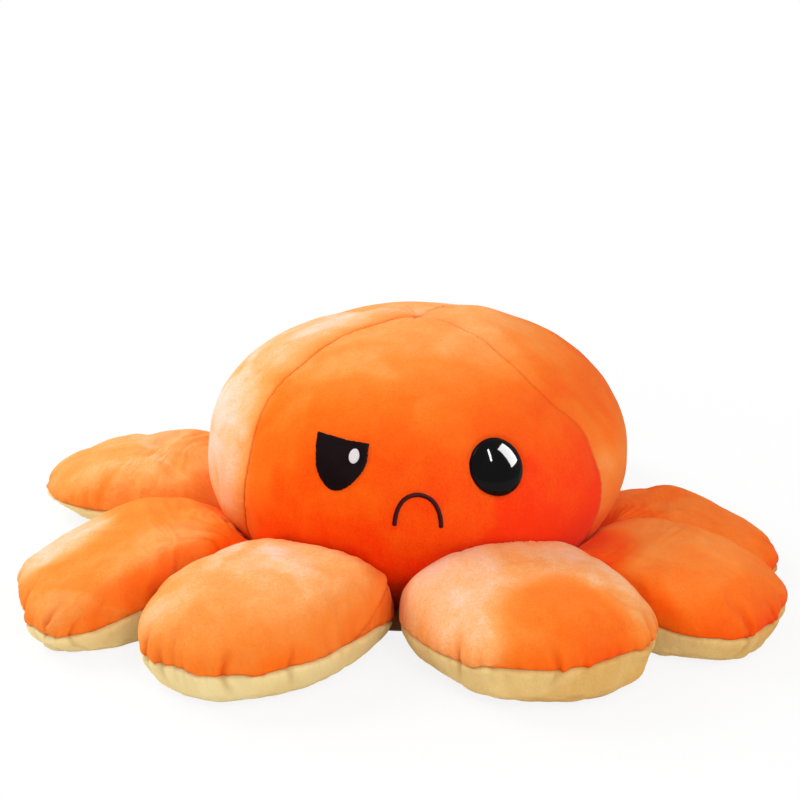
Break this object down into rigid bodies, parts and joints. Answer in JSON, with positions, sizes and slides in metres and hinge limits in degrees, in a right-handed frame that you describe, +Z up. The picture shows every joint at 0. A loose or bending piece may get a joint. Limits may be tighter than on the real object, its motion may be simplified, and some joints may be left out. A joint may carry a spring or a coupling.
{
  "type": "plush octopus",
  "caption": "Stuffed plush octopus lying on its petal legs, with a domed two-sided head and a pocket underneath for turning it inside out.",
  "frame": {"origin": "middle of the toy's bounding box in plan, on the surface that it rests on", "axes": "+X to the toy's left hand, which is the viewer's right, along its widest spread of legs; -Y out of the face; +Z up"},
  "size_m": [0.5816, 0.5254, 0.196],
  "materials": {
    "orange_plush": "matte",
    "yellow_plush": "matte",
    "fibre": "matte",
    "black_thread": "satin",
    "white_thread": "satin",
    "gloss_black": "gloss",
    "washer_white": "matte"
  },
  "bodies": {
    "head": {"head_face_panel": "orange_plush", "head_right_panel": "orange_plush", "head_back_panel": "orange_plush", "head_left_panel": "orange_plush", "head_filling": "fibre", "right_eye": "gloss_black", "right_eye_washer": "washer_white", "left_eye_patch": "black_thread", "left_eye_highlight": "white_thread", "mouth_embroidery": "black_thread", "pocket_face_panel": "yellow_plush", "pocket_right_panel": "yellow_plush", "pocket_back_panel": "yellow_plush", "pocket_left_panel": "yellow_plush", "underside_ring": "yellow_plush"},
    "leg_l1": {"leg_l1_top_panel": "orange_plush", "leg_l1_bottom_panel": "yellow_plush", "leg_l1_filling": "fibre"},
    "leg_r1": {"leg_r1_top_panel": "orange_plush", "leg_r1_bottom_panel": "yellow_plush", "leg_r1_filling": "fibre"},
    "leg_l2": {"leg_l2_top_panel": "orange_plush", "leg_l2_bottom_panel": "yellow_plush", "leg_l2_filling": "fibre"},
    "leg_r2": {"leg_r2_top_panel": "orange_plush", "leg_r2_bottom_panel": "yellow_plush", "leg_r2_filling": "fibre"},
    "leg_l3": {"leg_l3_top_panel": "orange_plush", "leg_l3_bottom_panel": "yellow_plush", "leg_l3_filling": "fibre"},
    "leg_r3": {"leg_r3_top_panel": "orange_plush", "leg_r3_bottom_panel": "yellow_plush", "leg_r3_filling": "fibre"},
    "leg_r4": {"leg_r4_top_panel": "orange_plush", "leg_r4_bottom_panel": "yellow_plush", "leg_r4_filling": "fibre"},
    "leg_l4": {"leg_l4_top_panel": "orange_plush", "leg_l4_bottom_panel": "yellow_plush", "leg_l4_filling": "fibre"}
  },
  "joints": [
    {"name": "leg_l1_root", "type": "hinge", "parent": "head", "child": "leg_l1", "pos_m": [-0.07416, -0.13964, 0.022], "axis": [-0.8192, 0.5736, 0], "range_deg": [-45, 30]},
    {"name": "leg_r1_root", "type": "hinge", "parent": "head", "child": "leg_r1", "pos_m": [0.07893, -0.15304, 0.022], "axis": [-0.9063, -0.4226, 0], "range_deg": [-45, 30]},
    {"name": "leg_l2_root", "type": "hinge", "parent": "head", "child": "leg_l2", "pos_m": [-0.12295, -0.08352, 0.022], "axis": [-0.454, 0.891, 0], "range_deg": [-45, 30]},
    {"name": "leg_r2_root", "type": "hinge", "parent": "head", "child": "leg_r2", "pos_m": [0.14287, -0.09745, 0.022], "axis": [-0.5446, -0.8387, 0], "range_deg": [-45, 30]},
    {"name": "leg_l3_root", "type": "hinge", "parent": "head", "child": "leg_l3", "pos_m": [-0.12851, 0.04381, 0.022], "axis": [0.3746, 0.9272, 0], "range_deg": [-45, 30]},
    {"name": "leg_r3_root", "type": "hinge", "parent": "head", "child": "leg_r3", "pos_m": [0.16729, -0.02447, 0.022], "axis": [-0.0698, -0.9976, 0], "range_deg": [-45, 30]},
    {"name": "leg_r4_root", "type": "hinge", "parent": "head", "child": "leg_r4", "pos_m": [0.09768, 0.11513, 0.022], "axis": [0.8387, -0.5446, 0], "range_deg": [-45, 30]},
    {"name": "leg_l4_root", "type": "hinge", "parent": "head", "child": "leg_l4", "pos_m": [-0.03095, 0.13321, 0.022], "axis": [0.9563, 0.2924, 0], "range_deg": [-45, 30]}
  ]
}
